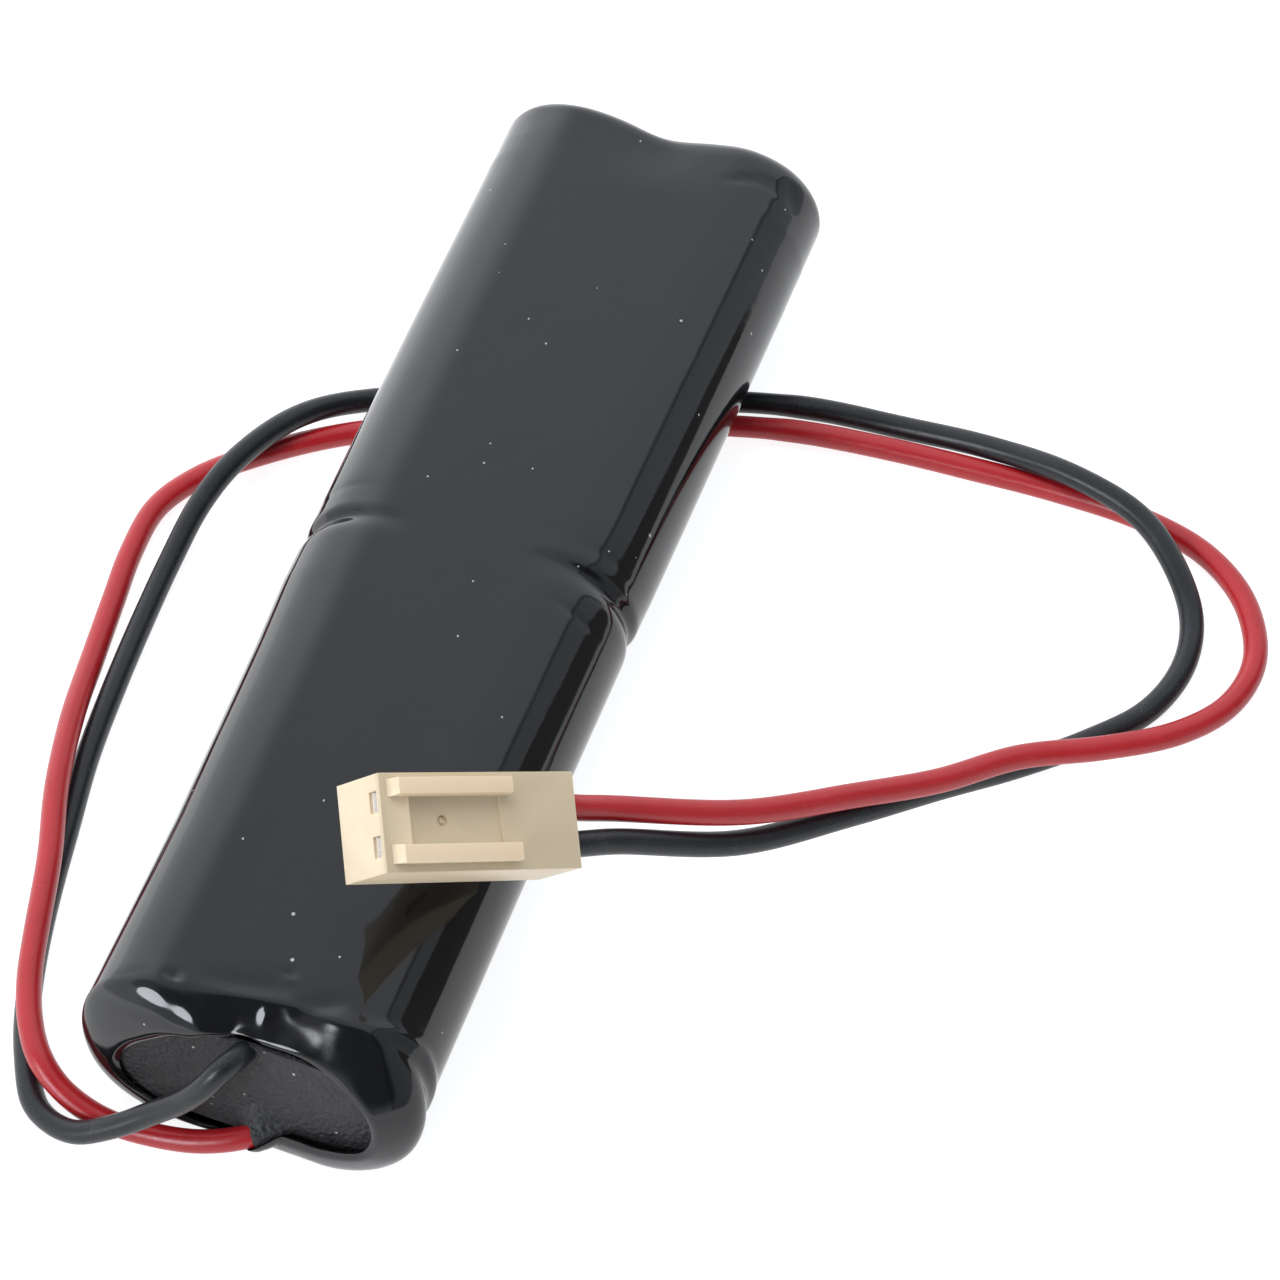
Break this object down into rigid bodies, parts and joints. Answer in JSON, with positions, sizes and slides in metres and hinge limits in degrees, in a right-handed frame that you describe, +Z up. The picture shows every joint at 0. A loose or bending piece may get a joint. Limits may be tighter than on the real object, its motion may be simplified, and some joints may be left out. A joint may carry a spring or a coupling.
{
  "type": "rechargeable battery pack",
  "caption": "Black heat-shrink pack of AA cells, two by two, with red and black leads looped round beneath it to a two-way crimp plug.",
  "frame": {"origin": "middle of the sleeve's flat underside", "axes": "+X across the pack, +Y along it away from the end the leads leave, +Z up from the underside"},
  "size_m": [0.1003, 0.1084, 0.0333],
  "materials": {
    "shrink_sleeve": "glossy black heat-shrink film",
    "end_pad": "matte pebbled black insulating sheet",
    "cell_wrap": "plain green cell film",
    "cell_can": "nickel-plated steel",
    "electrode": "pressed powder electrodes, dark grey",
    "nickel": "satin nickel",
    "seal_nylon": "satin",
    "fibre": "matte",
    "solder": "satin solder",
    "red_lead": "satin",
    "black_lead": "satin",
    "copper": "tinned copper strands",
    "plug": "satin moulded nylon",
    "contact": "tin plated"
  },
  "bodies": {
    "pack": {"black_core_fixed": "copper", "black_lead_fixed": "black_lead", "black_solder_joint": "solder", "far_bus_strip": "nickel", "far_end_insulator": "end_pad", "far_left_cell_can": "cell_can", "far_left_cell_electrode_roll": "electrode", "far_left_cell_insulating_washer": "fibre", "far_left_cell_jacket": "cell_wrap", "far_left_cell_positive_cap": "nickel", "far_left_cell_seal_ring": "seal_nylon", "far_right_cell_can": "cell_can", "far_right_cell_electrode_roll": "electrode", "far_right_cell_insulating_washer": "fibre", "far_right_cell_jacket": "cell_wrap", "far_right_cell_positive_cap": "nickel", "far_right_cell_seal_ring": "seal_nylon", "left_series_strip": "nickel", "near_end_insulator": "end_pad", "near_left_cell_can": "cell_can", "near_left_cell_electrode_roll": "electrode", "near_left_cell_insulating_washer": "fibre", "near_left_cell_jacket": "cell_wrap", "near_left_cell_positive_cap": "nickel", "near_left_cell_seal_ring": "seal_nylon", "near_right_cell_can": "cell_can", "near_right_cell_electrode_roll": "electrode", "near_right_cell_insulating_washer": "fibre", "near_right_cell_jacket": "cell_wrap", "near_right_cell_positive_cap": "nickel", "near_right_cell_seal_ring": "seal_nylon", "negative_lead_tab": "nickel", "positive_lead_tab": "nickel", "red_core_fixed": "copper", "red_lead_fixed": "red_lead", "red_solder_joint": "solder", "right_series_strip": "nickel", "shrink_sleeve": "shrink_sleeve"},
    "lead_loop": {"black_core_loop": "copper", "black_lead_loop": "black_lead", "red_core_loop": "copper", "red_lead_loop": "red_lead"},
    "lead_bow": {"black_core_bow": "copper", "black_lead_bow": "black_lead", "red_core_bow": "copper", "red_lead_bow": "red_lead"},
    "lead_tail": {"black_core_tail": "copper", "black_lead_tail": "black_lead", "red_core_tail": "copper", "red_lead_tail": "red_lead"},
    "plug": {"black_contact": "contact", "black_core_plug_end": "copper", "black_lead_plug_end": "black_lead", "plug_housing": "plug", "red_contact": "contact", "red_core_plug_end": "copper", "red_lead_plug_end": "red_lead"}
  },
  "joints": [
    {"name": "lead_swing", "type": "hinge", "parent": "pack", "child": "lead_loop", "pos_m": [0.02, 0.0358, -0.00153], "axis": [0, 0.0288, 0.9996], "range_deg": [0, 35]},
    {"name": "loop_open", "type": "hinge", "parent": "lead_loop", "child": "lead_bow", "pos_m": [0.0515, 0.03215, -0.00144], "axis": [0, 0.0288, 0.9996], "range_deg": [0, 50]},
    {"name": "lead_turn", "type": "hinge", "parent": "lead_bow", "child": "lead_tail", "pos_m": [0.049, 0.0028, -0.0002], "axis": [0, 0.0288, 0.9996], "range_deg": [0, 50]},
    {"name": "plug_bend", "type": "hinge", "parent": "lead_tail", "child": "plug", "pos_m": [0.01927, -0.0241, 0.01757], "axis": [-0.3912, 0.819, 0.4199], "range_deg": [-10, 40]}
  ]
}
